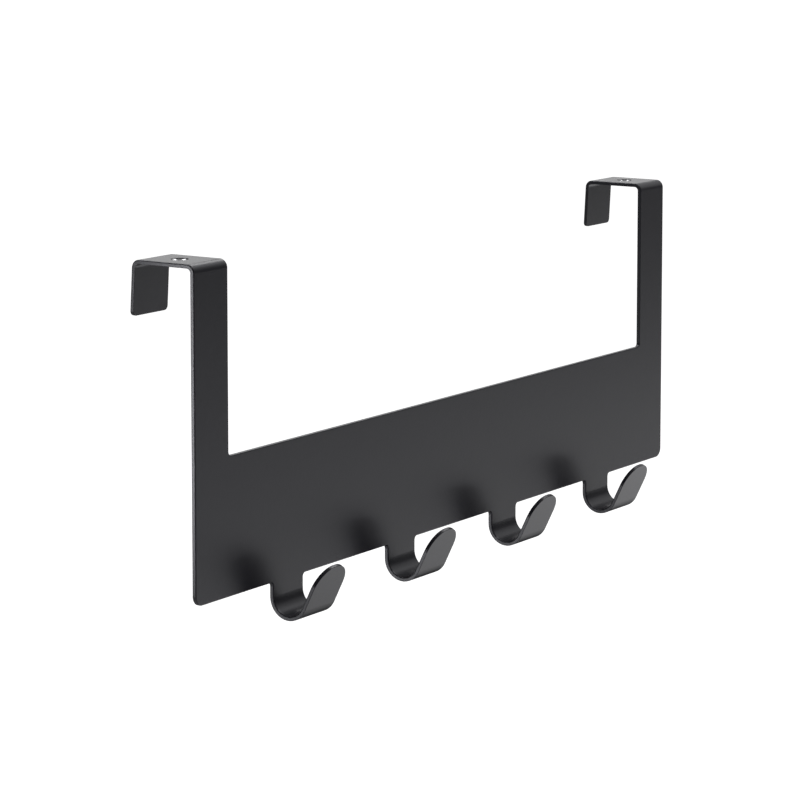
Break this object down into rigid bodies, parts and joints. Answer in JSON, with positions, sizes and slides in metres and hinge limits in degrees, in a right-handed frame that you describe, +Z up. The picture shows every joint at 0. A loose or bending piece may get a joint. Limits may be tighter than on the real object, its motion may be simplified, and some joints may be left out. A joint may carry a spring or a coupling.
{
  "type": "over door hook",
  "caption": "Folded sheet steel over door hook rack: flat panel on straps that fold over the door's top edge, with J hooks bent from its lower edge.",
  "frame": {"origin": "on the door's front top edge: midway between the straps, at the panel's back face and the flanges' underside", "axes": "+X along the panel, +Y to the back of the door, +Z up; the hooks face -Y"},
  "size_m": [0.35, 0.0523, 0.141],
  "materials": {
    "powder_coat": "satin black powder coat"
  },
  "bodies": {
    "root": {"door_hanger": "powder_coat"}
  },
  "joints": []
}
